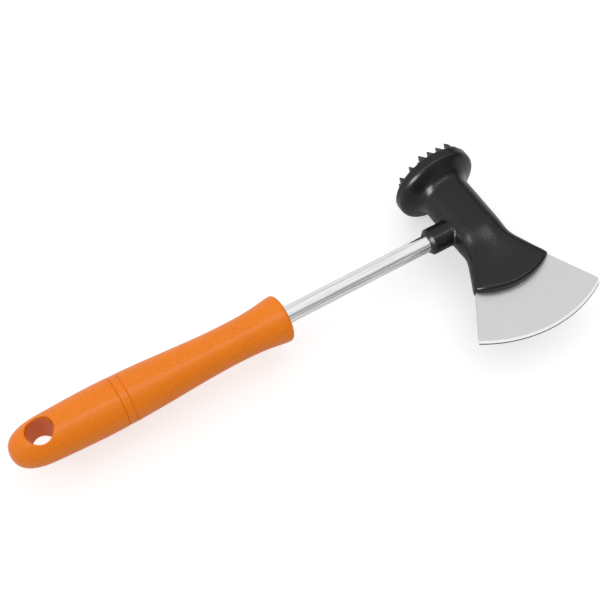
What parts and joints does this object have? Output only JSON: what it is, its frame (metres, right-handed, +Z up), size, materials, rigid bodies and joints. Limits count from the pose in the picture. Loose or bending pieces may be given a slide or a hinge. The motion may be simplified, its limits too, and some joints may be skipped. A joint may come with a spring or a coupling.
{
  "type": "meat hammer",
  "caption": "Kitchen meat hammer: toothed striking face and chopping blade on one moulded head, steel tube shaft, plastic handle with hanging hole.",
  "frame": {"origin": "bottom centre of the hammer's bounding box as it lies on its side", "axes": "+X along the shaft from the handle to the head, +Y from the blade to the toothed face, +Z up, square to the blade"},
  "size_m": [0.2586, 0.1004, 0.04],
  "materials": {
    "blade_steel": "satin ground stainless steel",
    "tube_steel": "polished",
    "head_plastic": "satin black moulding",
    "handle_plastic": "semi-gloss orange moulding",
    "core_plastic": "natural",
    "pin_steel": "plain",
    "screw_steel": "zinc plated"
  },
  "bodies": {
    "root": {"blade": "blade_steel", "head_body": "head_plastic", "toothed_face": "head_plastic", "shaft_tube": "tube_steel", "shaft_pin": "pin_steel", "tube_plug": "core_plastic", "tube_bush": "core_plastic", "bush_screw": "screw_steel", "screw_washer": "screw_steel", "grip_shell": "handle_plastic", "grip_band": "handle_plastic", "end_cap": "handle_plastic"}
  },
  "joints": []
}
